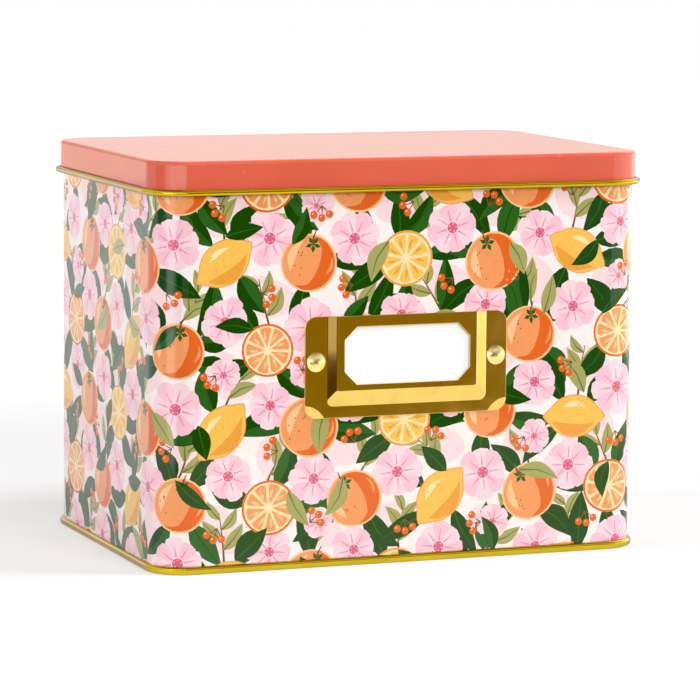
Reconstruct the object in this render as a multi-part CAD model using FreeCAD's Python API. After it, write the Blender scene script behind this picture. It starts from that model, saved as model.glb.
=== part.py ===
import FreeCAD, Part
import math
import os

# Index card tin: a tinplate box with a hinged lid and a riveted label holder.
# Millimetres. +X is to the right, +Y to the rear (hinge side), +Z up.
# Origin: centre of the base, on the plane that the tin stands on.

V = FreeCAD.Vector

# --- Driving dimensions ------------------------------------------------------

# Whole tin
body_width = 171.8        # outside of the body wall, along X
body_depth = 117.0        # outside of the body wall, along Y
tin_height = 135.0        # from the table to the top of the closed lid
corner_radius = 12.0      # outside radius of the upright corners
sheet = 0.28              # tinplate thickness
seam_gap = 0.05           # between sheets that are folded over each other

# Base seam: the bottom panel's rim rolled round the wall's flange
base_bead_height = 2.7
base_bead_reach = 1.3     # how far the bead stands out from the wall
base_bead_radius = 1.05   # rounding of the bead's outer edges
base_inner_radius = 0.5   # rounding of the bead's inner bottom edge
panel_rise = 3.4          # underside of the bottom panel above the table

# Top of the wall and rear lock seam
hem_radius = 0.9          # outside radius of the inward roll
hem_turn = 300.0          # degrees that the roll turns through
lock_seam_width = 4.0
lock_seam_plies = 3       # extra plies inside the wall
lock_groove_width = 0.4
lock_groove_depth = 0.1
lock_seam_end_gap = 0.5   # seam plies stop this far from the hem and the panel

# Lid
lid_depth = 11.2          # from the top of the lid to the bottom of its curl
lid_edge_radius = 1.3     # outside rounding of the lid's top edge
lid_rest_gap = 0.3        # between the hem and the underside of the lid
lid_play = 0.19           # what is left beside the rim as the lid swings past
curl_turn = 300.0         # degrees that the outward curl turns through

# Hinge
wire_diameter = 1.4
wire_slack = 0.06         # round the wire, inside the lid's curl
wire_running_gap = 0.05   # round the wire, inside the loops
wire_end_gap = 3.0        # from the wire's end to the start of the corner
hinge_inset = 41.0        # from the side of the wall to the middle of a loop
loop_width = 14.0
clinch_leg = 4.0          # length of each leg inside the wall
notch_gap = 0.4           # between a loop and the notch in the lid

# Label holder, measured on the front wall
holder_width = 71.8
holder_height = 33.8
holder_bottom = 49.4      # bottom edge above the table
holder_corner = 4.0
holder_sheet = 0.5
flange_width = 7.8        # flat at the left and right, outside the bevel
flange_below = 4.4        # flat under the bevel
bevel_width = 3.15        # slope up to the raised panel, at the left and right
bevel_width_below = 4.25  # the same under the panel
bevel_corner = 2.2        # corner radius at the foot of the bevel
panel_corner = 1.0        # corner radius at the top of the bevel
panel_lift = 1.0          # pocket depth, wall to the back of the raised panel
window_side = 2.75        # frame left between the bevel and the window
window_below = 2.3
window_above = 3.7        # frame left between the window and the top edge
window_chamfer = 4.3

# Label card
card_thickness = 0.35
card_gap = 0.5            # to the pocket's sides and floor
card_wall_gap = 0.25      # to the tin's wall
card_below_edge = 0.6     # card's top edge under the holder's top edge

# Rivets
rivet_head_diameter = 6.5
rivet_head_height = 1.5
rivet_shank_diameter = 2.4
rivet_tail_diameter = 4.4
rivet_tail_height = 0.7
rivet_hole_gap = 0.05
rivet_above_middle = 1.9  # rivets sit above the middle of the holder's height

# --- Values worked out from them ---------------------------------------------

half_width = body_width / 2
half_depth = body_depth / 2
rim_top = tin_height - sheet - lid_rest_gap
curl_radius = wire_diameter / 2 + wire_slack + sheet
curl_z = tin_height - lid_depth + curl_radius
# A point on the front of the skirt swings inwards by this much as it clears the rim.
swing_in = (rim_top - curl_z) ** 2 / (2 * body_depth)
lid_clearance = swing_in + lid_play
wire_out = lid_clearance + curl_radius
hinge_x = half_width - hinge_inset
plate_inset = corner_radius / 2
plate_lap = 1.0                    # the swept rims overlap the flat sheets inside them by this much
# The bead's rounding leaves the flange of the wall a flat stretch inside it.
bead_rounding = min(base_bead_radius, (base_bead_height - sheet) / 2)

holder_half_width = holder_width / 2
holder_half_height = holder_height / 2
holder_middle_z = holder_bottom + holder_half_height
bevel_foot_x = holder_half_width - flange_width
panel_x = bevel_foot_x - bevel_width
bevel_foot_y = -holder_half_height + flange_below
panel_y = bevel_foot_y + bevel_width_below
panel_front = panel_lift + holder_sheet
# The back of a bent sheet is set in by this much from its front, so that the sheet stays as thick.
side_bend = holder_sheet * math.tan(math.atan(panel_lift / bevel_width) / 2)
below_bend = holder_sheet * math.tan(math.atan(panel_lift / bevel_width_below) / 2)
rivet_x = holder_half_width - flange_width / 2
rivet_y = rivet_above_middle


# --- Section helpers: a section lies in the XZ plane, x = distance out from the wall --

def box_section(out_low, out_high, z_low, z_high):
    corners = [V(out_low, 0, z_low), V(out_high, 0, z_low), V(out_high, 0, z_high), V(out_low, 0, z_high)]
    return Part.Face(Part.makePolygon(corners + corners[:1]))


def arc_point(centre, radius, degrees):
    angle = math.radians(degrees)
    return V(centre.x + radius * math.cos(angle), 0, centre.z + radius * math.sin(angle))


def arc_edge(centre, radius, start, end):
    middle = (start + end) / 2
    points = [arc_point(centre, radius, degrees) for degrees in (start, middle, end)]
    return Part.Arc(*points).toShape()


def roll_section(centre, radius, start, end):
    """A sheet rolled about centre, its outside at radius, from start to end degrees."""
    inner = radius - sheet
    outside = arc_edge(centre, radius, start, end)
    inside = arc_edge(centre, inner, start, end)
    first = Part.makeLine(arc_point(centre, inner, start), arc_point(centre, radius, start))
    last = Part.makeLine(arc_point(centre, radius, end), arc_point(centre, inner, end))
    return Part.Face(Part.Wire([outside, last, inside, first]))


def joined(section, *others):
    return section.multiFuse(list(others)).removeSplitter()


def around_tin(section):
    """Sweep a section round the four sides and the four rounded corners."""
    run_x = body_width - 2 * corner_radius
    run_y = body_depth - 2 * corner_radius
    pieces = []
    for side in range(4):
        turn = math.radians(90 * side)
        outward = V(math.cos(turn), math.sin(turn), 0)
        along = V(-math.sin(turn), math.cos(turn), 0)
        run = run_y if side % 2 == 0 else run_x
        reach = half_width if side % 2 == 0 else half_depth
        face = section.copy()
        face.rotate(V(0, 0, 0), V(0, 0, 1), 90 * side)
        face.translate(outward * reach - along * (run / 2))
        pieces.append(face.extrude(along * run))
        face.translate(along * run)
        corner = outward * (reach - corner_radius) + along * (run / 2)
        pieces.append(face.revolve(corner, V(0, 0, 1), 90))
    return pieces[0].multiFuse(pieces[1:]).removeSplitter()


def only_solid(shape):
    if len(shape.Solids) != 1:
        raise ValueError("expected one solid, got %d" % len(shape.Solids))
    return shape.Solids[0]


def rounded_outline(left, right, bottom, top, radius, z):
    """A closed rounded rectangle in the plane at height z."""
    arc = radius * (1 - math.sqrt(0.5))
    edges = [
        Part.makeLine(V(left + radius, bottom, z), V(right - radius, bottom, z)),
        Part.Arc(V(right - radius, bottom, z), V(right - arc, bottom + arc, z),
                 V(right, bottom + radius, z)).toShape(),
        Part.makeLine(V(right, bottom + radius, z), V(right, top - radius, z)),
        Part.Arc(V(right, top - radius, z), V(right - arc, top - arc, z),
                 V(right - radius, top, z)).toShape(),
        Part.makeLine(V(right - radius, top, z), V(left + radius, top, z)),
        Part.Arc(V(left + radius, top, z), V(left + arc, top - arc, z),
                 V(left, top - radius, z)).toShape(),
        Part.makeLine(V(left, top - radius, z), V(left, bottom + radius, z)),
        Part.Arc(V(left, bottom + radius, z), V(left + arc, bottom + arc, z),
                 V(left + radius, bottom, z)).toShape(),
    ]
    return Part.Wire(edges)


def flat_sheet(inset, z):
    """A flat sheet inside the tin's outline, inset from the wall's outer face."""
    outline = rounded_outline(inset - half_width, half_width - inset, inset - half_depth,
                              half_depth - inset, corner_radius - inset, z)
    return Part.Face(outline).extrude(V(0, 0, sheet))


# --- Base seam and bottom panel ----------------------------------------------

def bead_outline(grow):
    """Section of the base bead, moved inwards by grow for its inside."""
    left = -(2 * sheet + seam_gap) + grow
    right = base_bead_reach - grow
    low = grow
    high = base_bead_height - grow
    inner_radius = max(base_inner_radius - grow, seam_gap)
    outer_radius = max(bead_rounding - grow, seam_gap)
    inner_centre = V(left + inner_radius, 0, low + inner_radius)
    lower_centre = V(right - outer_radius, 0, low + outer_radius)
    upper_centre = V(right - outer_radius, 0, high - outer_radius)
    edges = [
        Part.makeLine(V(left, 0, high), V(left, 0, low + inner_radius)),
        arc_edge(inner_centre, inner_radius, 180, 270),
        Part.makeLine(V(left + inner_radius, 0, low), V(right - outer_radius, 0, low)),
        arc_edge(lower_centre, outer_radius, -90, 0),
        Part.makeLine(V(right, 0, low + outer_radius), V(right, 0, high - outer_radius)),
        arc_edge(upper_centre, outer_radius, 0, 90),
        Part.makeLine(V(right - outer_radius, 0, high), V(left, 0, high)),
    ]
    return Part.Face(Part.Wire(edges))


def make_bottom_panel():
    inner_left = -(2 * sheet + seam_gap)
    wall_slot = box_section(-(sheet + seam_gap), seam_gap, base_bead_height / 2, base_bead_height + sheet)
    roll = bead_outline(0).cut(bead_outline(sheet)).cut(wall_slot)
    upright = box_section(inner_left, inner_left + sheet, base_bead_height / 2, panel_rise + sheet)
    shelf = box_section(-plate_inset - plate_lap, inner_left + sheet, panel_rise, panel_rise + sheet)
    rim = around_tin(joined(roll, upright, shelf))
    return only_solid(rim.fuse(flat_sheet(plate_inset, panel_rise)).removeSplitter())


# --- Body wall ---------------------------------------------------------------

def make_body_wall():
    hem_centre = V(-hem_radius, 0, rim_top - hem_radius)
    flange_low = (base_bead_height - sheet) / 2
    flange_reach = base_bead_reach - sheet - 2 * seam_gap
    upright = box_section(-sheet, 0, flange_low, hem_centre.z)
    flange = box_section(-sheet, flange_reach, flange_low, flange_low + sheet)
    hem = roll_section(hem_centre, hem_radius, 0, hem_turn)
    wall = around_tin(joined(upright, flange, hem))

    seam_low = panel_rise + sheet + lock_seam_end_gap
    seam_high = rim_top - 2 * hem_radius - lock_seam_end_gap
    seam_thickness = lock_seam_plies * sheet
    seam = Part.makeBox(lock_seam_width, seam_thickness + sheet / 2, seam_high - seam_low,
                        V(-lock_seam_width / 2, half_depth - sheet - seam_thickness, seam_low))
    groove = Part.makeBox(lock_groove_width, 2 * lock_groove_depth, seam_high - base_bead_height,
                          V(lock_seam_width / 2 - lock_groove_width, half_depth - lock_groove_depth,
                            base_bead_height))
    wall = wall.fuse(seam).cut(groove)
    for x in (-hinge_x, hinge_x):
        slot_width = loop_width + 2 * seam_gap
        slot_height = 2 * (sheet + seam_gap)
        slot = Part.makeBox(slot_width, 4 * sheet, slot_height,
                            V(x - slot_width / 2, half_depth - 2 * sheet, curl_z - slot_height / 2))
        wall = wall.cut(slot)
    for x in (-rivet_x, rivet_x):
        wall = wall.cut(rivet_hole(x))
    return only_solid(wall.removeSplitter())


# --- Lid ---------------------------------------------------------------------

def make_lid_shell():
    skirt_outside = lid_clearance + sheet
    edge_centre = V(skirt_outside - lid_edge_radius, 0, tin_height - lid_edge_radius)
    curl_centre = V(wire_out, 0, curl_z)
    skirt = box_section(lid_clearance, skirt_outside, curl_z, edge_centre.z)
    top_edge = roll_section(edge_centre, lid_edge_radius, 0, 90)
    top = box_section(-plate_inset - plate_lap, edge_centre.x, tin_height - sheet, tin_height)
    curl = roll_section(curl_centre, curl_radius, 180, 180 + curl_turn)
    rim = around_tin(joined(skirt, top_edge, top, curl))
    lid = rim.fuse(flat_sheet(plate_inset, tin_height - sheet))
    notch_width = loop_width + 2 * notch_gap
    notch_height = 2 * (curl_radius + notch_gap)
    for x in (-hinge_x, hinge_x):
        notch = Part.makeBox(notch_width, 4 * curl_radius, notch_height,
                             V(x - notch_width / 2, half_depth + lid_clearance / 2, curl_z - notch_height / 2))
        lid = lid.cut(notch)
    return only_solid(lid.removeSplitter())


# --- Hinge -------------------------------------------------------------------

def make_hinge_wire():
    length = body_width - 2 * (corner_radius + wire_end_gap)
    return Part.makeCylinder(wire_diameter / 2, length, V(-length / 2, half_depth + wire_out, curl_z), V(1, 0, 0))


def make_hinge_loop(x):
    """A strip folded round the wire; its two ends pass the wall and part inside."""
    left = x - loop_width / 2
    axis_y = half_depth + wire_out
    hole_radius = wire_diameter / 2 + wire_running_gap
    inner_face = half_depth - sheet - seam_gap
    knuckle = Part.makeCylinder(hole_radius + sheet, loop_width, V(left, axis_y, curl_z), V(1, 0, 0))
    neck = Part.makeBox(loop_width, axis_y - inner_face + sheet, 2 * sheet,
                        V(left, inner_face - sheet, curl_z - sheet))
    legs = Part.makeBox(loop_width, sheet, 2 * clinch_leg, V(left, inner_face - sheet, curl_z - clinch_leg))
    hole = Part.makeCylinder(hole_radius, loop_width, V(left, axis_y, curl_z), V(1, 0, 0))
    return only_solid(knuckle.multiFuse([neck, legs]).cut(hole).removeSplitter())


# --- Label holder: built flat (x right, y up, z out of the wall), then stood up ------

def stood_up(shape):
    """Turn a shape built flat so that it stands on the front wall."""
    shape.rotate(V(0, 0, 0), V(1, 0, 0), 90)
    shape.translate(V(0, -half_depth, holder_middle_z))
    return shape


def rivet_hole(x):
    radius = rivet_shank_diameter / 2 + rivet_hole_gap
    length = 2 * (sheet + holder_sheet)
    return stood_up(Part.makeCylinder(radius, 2 * length, V(x, rivet_y, -length)))


def u_outline(half, low, radius, z):
    """A closed outline with two rounded lower corners, square where it meets the holder's top edge."""
    arc = radius * (1 - math.sqrt(0.5))
    high = holder_half_height
    edges = [
        Part.makeLine(V(radius - half, low, z), V(half - radius, low, z)),
        Part.Arc(V(half - radius, low, z), V(half - arc, low + arc, z), V(half, low + radius, z)).toShape(),
        Part.makeLine(V(half, low + radius, z), V(half, high, z)),
        Part.makeLine(V(half, high, z), V(-half, high, z)),
        Part.makeLine(V(-half, high, z), V(-half, low + radius, z)),
        Part.Arc(V(-half, low + radius, z), V(arc - half, low + arc, z), V(radius - half, low, z)).toShape(),
    ]
    return Part.Wire(edges)


def raised(foot_z, top_z, side_inset, below_inset):
    """A plateau with sloping left, right and bottom sides that runs out over the top edge."""
    foot = u_outline(bevel_foot_x - side_inset, bevel_foot_y + below_inset, bevel_corner, foot_z)
    top = u_outline(panel_x - side_inset, panel_y + below_inset, panel_corner, top_z)
    return Part.makeLoft([foot, top], True, True)


def make_label_holder():
    plate_wire = rounded_outline(-holder_half_width, holder_half_width, -holder_half_height,
                                 holder_half_height, holder_corner, 0)
    flange = Part.Face(plate_wire).extrude(V(0, 0, holder_sheet))
    front = raised(holder_sheet, panel_front, 0, 0)
    pocket = raised(0, panel_lift, side_bend, below_bend)
    window_x = panel_x - window_side
    window_low = panel_y + window_below
    window_high = holder_half_height - window_above
    cut = window_chamfer
    corners = [
        V(-window_x + cut, window_low, 0), V(window_x - cut, window_low, 0),
        V(window_x, window_low + cut, 0), V(window_x, window_high - cut, 0),
        V(window_x - cut, window_high, 0), V(-window_x + cut, window_high, 0),
        V(-window_x, window_high - cut, 0), V(-window_x, window_low + cut, 0),
    ]
    window = Part.Face(Part.makePolygon(corners + corners[:1])).extrude(V(0, 0, 2 * panel_front))
    holder = stood_up(flange.fuse(front).cut(pocket).cut(window))
    for x in (-rivet_x, rivet_x):
        holder = holder.cut(rivet_hole(x))
    return only_solid(holder.removeSplitter())


def make_label_card():
    # The pocket narrows towards its front, so the card clears the bevel where its front face lies.
    taper = (card_wall_gap + card_thickness) / panel_lift
    half = bevel_foot_x - side_bend - taper * bevel_width - card_gap
    low = bevel_foot_y + below_bend + taper * bevel_width_below + card_gap
    high = holder_half_height - card_below_edge
    outline = rounded_outline(-half, half, low, high, bevel_corner, card_wall_gap)
    return stood_up(Part.Face(outline).extrude(V(0, 0, card_thickness)))


def make_label_rivet(x):
    head_radius = rivet_head_diameter / 2
    sphere_radius = (head_radius ** 2 + rivet_head_height ** 2) / (2 * rivet_head_height)
    centre_z = holder_sheet + rivet_head_height - sphere_radius
    edge_angle = math.asin(head_radius / sphere_radius) / 2
    middle = V(sphere_radius * math.sin(edge_angle), 0, centre_z + sphere_radius * math.cos(edge_angle))
    crown = Part.Arc(V(0, 0, holder_sheet + rivet_head_height), middle, V(head_radius, 0, holder_sheet)).toShape()
    shank_radius = rivet_shank_diameter / 2
    tail_radius = rivet_tail_diameter / 2
    outline = [
        V(head_radius, 0, holder_sheet), V(shank_radius, 0, holder_sheet), V(shank_radius, 0, -sheet),
        V(tail_radius, 0, -sheet), V(tail_radius, 0, -sheet - rivet_tail_height / 2),
        V(shank_radius, 0, -sheet - rivet_tail_height), V(0, 0, -sheet - rivet_tail_height),
        V(0, 0, holder_sheet + rivet_head_height),
    ]
    edges = [crown] + [Part.makeLine(a, b) for a, b in zip(outline, outline[1:])]
    rivet = Part.Face(Part.Wire(edges)).revolve(V(0, 0, 0), V(0, 0, 1), 360)
    rivet.translate(V(x, rivet_y, 0))
    return only_solid(stood_up(rivet))


# --- Write one STEP file per node --------------------------------------------

nodes = {
    "body_wall": make_body_wall(),
    "bottom_panel": make_bottom_panel(),
    "lid_shell": make_lid_shell(),
    "hinge_wire": make_hinge_wire(),
    "hinge_loop_left": make_hinge_loop(-hinge_x),
    "hinge_loop_right": make_hinge_loop(hinge_x),
    "label_holder": make_label_holder(),
    "label_card": make_label_card(),
    "label_rivet_left": make_label_rivet(-rivet_x),
    "label_rivet_right": make_label_rivet(rivet_x),
}

os.makedirs("parts", exist_ok=True)
for name, shape in nodes.items():
    shape.exportStep("parts/%s.step" % name)
    print("%-18s valid=%s volume=%.1f mm3" % (name, shape.isValid(), shape.Volume))
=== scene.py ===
import bisect
import functools
import random
from itertools import pairwise
from math import asin, copysign, cos, hypot, pi, radians, sin, sqrt, tan

import bmesh
import bpy
from mathutils import Matrix, Vector
from mathutils.geometry import delaunay_2d_cdt


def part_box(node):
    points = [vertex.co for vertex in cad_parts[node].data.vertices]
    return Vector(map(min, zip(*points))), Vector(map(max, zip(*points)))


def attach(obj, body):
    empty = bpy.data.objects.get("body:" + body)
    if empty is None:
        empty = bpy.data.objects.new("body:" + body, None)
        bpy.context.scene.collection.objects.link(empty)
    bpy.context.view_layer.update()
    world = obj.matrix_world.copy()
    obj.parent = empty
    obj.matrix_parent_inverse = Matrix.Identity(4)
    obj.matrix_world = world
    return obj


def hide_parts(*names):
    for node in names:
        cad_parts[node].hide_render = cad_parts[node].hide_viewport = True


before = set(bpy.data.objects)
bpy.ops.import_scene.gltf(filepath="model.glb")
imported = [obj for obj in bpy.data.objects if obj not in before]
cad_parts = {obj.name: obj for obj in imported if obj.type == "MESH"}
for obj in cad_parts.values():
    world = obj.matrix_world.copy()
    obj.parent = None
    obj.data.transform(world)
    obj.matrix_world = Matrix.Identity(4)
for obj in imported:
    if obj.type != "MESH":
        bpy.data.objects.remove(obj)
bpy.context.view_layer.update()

# Sizes are in millimetres and become metres where a mesh, lamp or camera is made.
MM = 0.001

# --- Sizes taken from the frame ---

holder_low, holder_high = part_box("label_holder")
half_depth = -holder_high.y / MM
half_width = half_depth + (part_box("body_wall")[1].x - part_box("body_wall")[1].y) / MM
rim_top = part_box("body_wall")[1].z / MM
tin_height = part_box("lid_shell")[1].z / MM
curl_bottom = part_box("lid_shell")[0].z / MM

# --- Sizes of the sheet metal ---

corner_radius = 12.0
sheet = 0.28
bead_height = 2.7         # of the rolled seam at the base
bead_reach = 1.3          # how far it stands out from the wall
bead_radius = 1.05
bead_inner_radius = 0.5
seam_gap = 0.05
panel_rise = 3.4          # underside of the bottom panel
panel_bend = 0.35         # rounding where the bottom panel turns up into its rim
hem_radius = 0.9
roll_turn = 300.0         # degrees, both for the wall's hem and the lid's curl
lid_edge_radius = 1.3
curl_radius = 1.04
curl_z = curl_bottom + curl_radius
lid_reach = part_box("lid_shell")[1].x / MM - half_width - curl_radius
hinge_x = 44.9
loop_width = 14.0
notch_gap = 0.4
slot_gap = 0.05
slot_half = loop_width / 2 + slot_gap
notch_half = loop_width / 2 + notch_gap
slot_tall = sheet + slot_gap
seam_width = 4.0          # of the lock seam at the rear
seam_plies = 3
seam_end_gap = 0.5        # above the bottom panel
seam_top_gap = 1.5        # under the wall's hem
seam_edge = 0.12          # chamfer along the seam's folded edges
groove_x = 1.8
groove_width = 0.4
groove_depth = 0.1

corner_steps = 20
roll_steps = 22
edge_steps = 10
wall_rows = [1.25, 4.0, 30, 60, 90]   # heights where the plain part of the wall is divided
print_top = rim_top - 2

# --- Sizes of the label holder, seen from the front with its middle at (0, 0) ---

plate_half_x = holder_high.x / MM
plate_half_y = (holder_high.z - holder_low.z) / 2 / MM
holder_z = (holder_high.z + holder_low.z) / 2 / MM
plate_corner = 4.0
plate_sheet = 0.5
panel_front = -holder_low.y / MM - half_depth
foot_x = 28.1             # foot of the bevel at the left and right
bevel_side = 3.15         # width of the bevel there
foot_y = -12.5            # foot of the bevel under the panel
bevel_below = 4.25
foot_corner = 2.2
shoulder_corner = 1.0
window_x = 22.2
window_low = -5.95
window_high = 13.2
window_chamfer = 4.3
edge_round = 0.18         # rounding of the plate's front edges
knee = 0.14               # share of the bevel's width that its foot and shoulder are rounded over
corner_bend = tan(radians(4.5))       # the lower corners bend back beyond an arc
corner_drop = 0.3         # the most that they bend back
bend_x = 36.2
bend_y = -20.4
bend_radius = 7.95
card_edge = 0.06          # rounding of the card's edges
rivet_tail_radius = 2.2
rivet_shank_radius = 1.2
rivet_rim = 0.3
rivet_tail_rim = 0.2
wire_bevel = 0.15


# --- The print, drawn flat on the unrolled wall in millimetres: x to the right, y up ---

INKS = {
    "ground": (249, 238, 234),
    "blush": (250, 218, 220),
    "petal": (249, 196, 210),
    "petal_pale": (252, 214, 222),
    "petal_deep": (238, 150, 178),
    "flower_eye": (222, 96, 136),
    "orange": (227, 100, 36),
    "orange_pale": (242, 154, 96),
    "orange_light": (250, 196, 142),
    "peel_dot": (150, 66, 30),
    "pith": (252, 226, 172),
    "yellow": (247, 192, 86),
    "yellow_deep": (236, 160, 62),
    "leaf": (0, 66, 3),
    "leaf_light": (32, 94, 28),
    "olive": (166, 164, 98),
    "olive_dark": (108, 112, 56),
    "stem": (122, 76, 42),
    "gold": (206, 160, 70),
}
DARK_LEAF = ("leaf", "leaf_light", "leaf_light")      # of the leaf, its upper half and its rib
MID_LEAF = ("leaf_light", "leaf", "leaf")
OLIVE_LEAF = ("olive", "olive", "olive_dark")
ORANGE_WHEEL = ("orange", "orange_pale", "orange_light")      # of the rind, the flesh and its gleam
LEMON_WHEEL = ("yellow_deep", "yellow", "yellow_deep")

dice = random.Random(17)
between = dice.uniform
drawn_shapes = []         # (ink, outline), lowest layer first
full_turn = 6.28          # radians, as the next two
quarter_turn = 1.57
fifth_turn = 1.257


def along(a, b, share):
    return a + (b - a) * share


def turned(points, x, y, turn):
    c, s = cos(turn), sin(turn)
    return [(x + c * u - s * v, y + s * u + c * v) for u, v in points]


def draw(ink, points, x, y, turn=0.0):
    """Prints a shape, turned about its own origin and put at x, y."""
    drawn_shapes.append((ink, turned(points, x, y, turn)))


def polar(x, y, distance, angle):
    return x + distance * cos(angle), y + distance * sin(angle)


def spine(t, length, bend):
    return t * length, 2 * bend * length * t * (1 - t)


def oval(long_radius, short_radius, steps, uneven=0.0):
    points = []
    for k in range(steps):
        a = 2 * pi * k / steps
        reach = 1 + uneven * sin(3 * a + long_radius)
        points.append((long_radius * reach * cos(a), short_radius * reach * sin(a)))
    return points


def blade(length, width, bend=0.0, steps=8, lower=1.0, upper=1.0):
    """A pointed leaf along its bent spine; lower and upper are the shares of its two halves."""
    top, bottom = [], []
    for k in range(steps + 1):
        x, y = spine(k / steps, length, bend)
        swell = width / 2 * sin(pi * (k / steps) ** 0.85)
        top.append((x, y + upper * swell))
        bottom.append((x, y - lower * swell))
    return top + bottom[-2:0:-1]


def stroke(length, width, bend=0.0, steps=3, start=0.0, end=1.0):
    """A brush stroke that tapers to a third of its width."""
    top, bottom = [], []
    for k in range(steps + 1):
        x, y = spine(start + (end - start) * k / steps, length, bend)
        half = width / 2 * (1 - 0.67 * k / steps)
        top.append((x, y + half))
        bottom.append((x, y - half))
    return top + bottom[::-1]


def petal(radius, width, steps=6):
    """A petal that is widest near its notched tip."""
    side = [(radius * 0.12, 0.0)]
    for k in range(1, steps):
        t = k / steps
        side.append((radius * (0.12 + 0.88 * t), width / 2 * abs(sin(pi * t ** 1.6)) ** 0.75))
    side.append((radius * 0.92, 0.0))
    return side + [(u, -v) for u, v in side[-2:0:-1]]


def draw_leaf(x, y, turn, length, width, inks):
    body, shade, rib = inks
    bend = between(-0.3, 0.3)
    draw(body, blade(length, width, bend), x, y, turn)
    if dice.random() < 0.4:
        draw(shade, blade(length, width, bend, lower=0.0, upper=0.92), x, y, turn)
    draw(rib, stroke(length, 0.6, bend, 2, 0.03, 0.88), x, y, turn)


def draw_sprig(x, y, turn, length):
    bend = between(-0.2, 0.2)
    draw("stem", stroke(length, 0.8, bend, 4), x, y, turn)
    for k in range(4):
        side = 1 if k % 2 else -1
        at, = turned([spine(0.25 + 0.2 * k, length, bend)], x, y, turn)
        size = length * (0.65 - 0.06 * k)
        draw_leaf(*at, turn + side * between(0.5, 0.8), size, size * 0.4, OLIVE_LEAF)


def draw_daisy(x, y, radius):
    petals = 8
    first = between(0, pi)
    draw("petal_pale", oval(radius * 0.7, radius * 0.7, 10), x, y, first)
    for k in range(petals):
        turn = first + 2 * pi * k / petals
        reach = radius * between(0.9, 1.08)
        draw("petal" if k % 2 else "petal_pale", petal(reach, radius * 0.66), x, y, turn)
        draw("petal_deep", stroke(radius * 0.4, 0.7, 0.0, 1), *polar(x, y, radius * 0.24, turn), turn)
    draw("flower_eye", oval(radius * 0.2, radius * 0.2, 9), x, y, first)
    for k in range(5):
        draw("orange_light", oval(0.3, 0.3, 4), *polar(x, y, radius * 0.13, first + k * fifth_turn))


def draw_orange(x, y, radius, lean):
    draw("orange_light", oval(radius * 1.04, radius * 1.01, 28, 0.01), x, y, lean)
    draw("orange_pale", oval(radius * 0.98, radius * 0.95, 28, 0.01), x, y, lean)
    rim = [polar(0, 0, radius * 0.95, radians(21 * k - 105)) for k in range(11)]
    inner = [(radius * (0.1 + 0.28 * cos(a)), radius * 0.78 * sin(a))
             for a in (radians(90 - 30 * k) for k in range(7))]
    draw("orange", rim + inner, x, y, lean)
    shine = turned(blade(radius * 1.2, radius * 0.3, 0.3, 5), -radius * 0.55, -radius * 0.5, 1.5)
    draw("orange_light", shine, x, y, lean)
    glint = turned(blade(radius * 0.7, radius * 0.12, -0.3, 4), radius * 0.72, -radius * 0.2, 1.6)
    draw("orange_pale", glint, x, y, lean)
    for k in range(7):
        spot = polar(x, y, radius * between(0.25, 0.8), lean + between(1.6, 4.4))
        draw("peel_dot", oval(0.36, 0.24, 4), *spot, 1.2)
    crown = polar(x, y, radius * 0.66, lean + 1.7)
    for k in range(5):
        draw("leaf_light", blade(radius * 0.3, radius * 0.16, 0.0, 2), *crown, lean + fifth_turn * k)
    draw("stem", stroke(radius * 0.5, 0.9, 0.2, 2), *crown, lean + 1.7)


def draw_wheel(x, y, radius, lean, rind, flesh, gleam):
    """A slice of fruit."""
    draw(rind, oval(radius, radius * 0.97, 28), x, y, lean)
    draw("pith", oval(radius * 0.92, radius * 0.89, 28), x, y, lean)
    wedges = 9
    half = pi / wedges - 0.05
    outer = [polar(0, 0, radius * (0.8 if abs(j) == 2 else 0.84), half * j / 2.1) for j in (-2, -1, 1, 2)]
    for k in range(wedges):
        turn = lean + 2 * pi * k / wedges
        draw(flesh, [(radius * 0.13, 0.0)] + outer, x, y, turn)
        start = polar(x, y, radius * 0.34, turn + 0.08)
        draw(gleam, blade(radius * 0.4, radius * 0.1, 0.1, 3), *start, turn)


def draw_lemon(x, y, radius, lean):
    body = []
    for k in range(32):
        a = 2 * pi * k / 32
        nose = 1 + 0.24 * cos(a) ** 24
        body.append((radius * 1.1 * nose * cos(a), radius * 0.86 * sin(a)))
    draw("orange_pale", body, x, y, lean)
    draw("yellow", [(u * 0.96, v * 0.95) for u, v in body], x, y, lean)
    shade = turned(blade(radius * 1.9, radius * 0.5, -0.36), -radius * 0.95, -radius * 0.22, 0.0)
    draw("yellow_deep", shade, x, y, lean)
    shine = turned(blade(radius, radius * 0.22, 0.25, 5), -radius * 0.5, radius * 0.36, 0.0)
    draw("pith", shine, x, y, lean)
    for k in range(5):
        spot = polar(x, y, radius * between(0.1, 0.6), between(0, full_turn))
        draw("yellow_deep", oval(0.34, 0.26, 5), *spot)


def draw_berries(x, y, turn):
    for k in range(3):
        lean = turn + 0.75 * (k - 1)
        draw("stem", stroke(3.4, 0.5, 0.1, 2), x, y, lean)
        berry = polar(x, y, 4.0, lean)
        draw("orange", oval(1.35, 1.35, 8), *berry)
        draw("orange_light", oval(0.45, 0.3, 4), berry[0] - 0.4, berry[1] + 0.4, 0.8)


def draw_fruit(row, column, x, y):
    kind = (column + 2 * row) % 4
    lean = between(-0.5, 0.5)
    if kind % 2 == 0:
        draw_orange(x, y, between(9.0, 10.0), lean)
    elif kind == 1:
        draw_wheel(x, y, between(9.0, 9.8), lean, *(ORANGE_WHEEL if row % 2 else LEMON_WHEEL))
    else:
        draw_lemon(x, y, between(8.2, 9.0), lean * 2)


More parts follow.
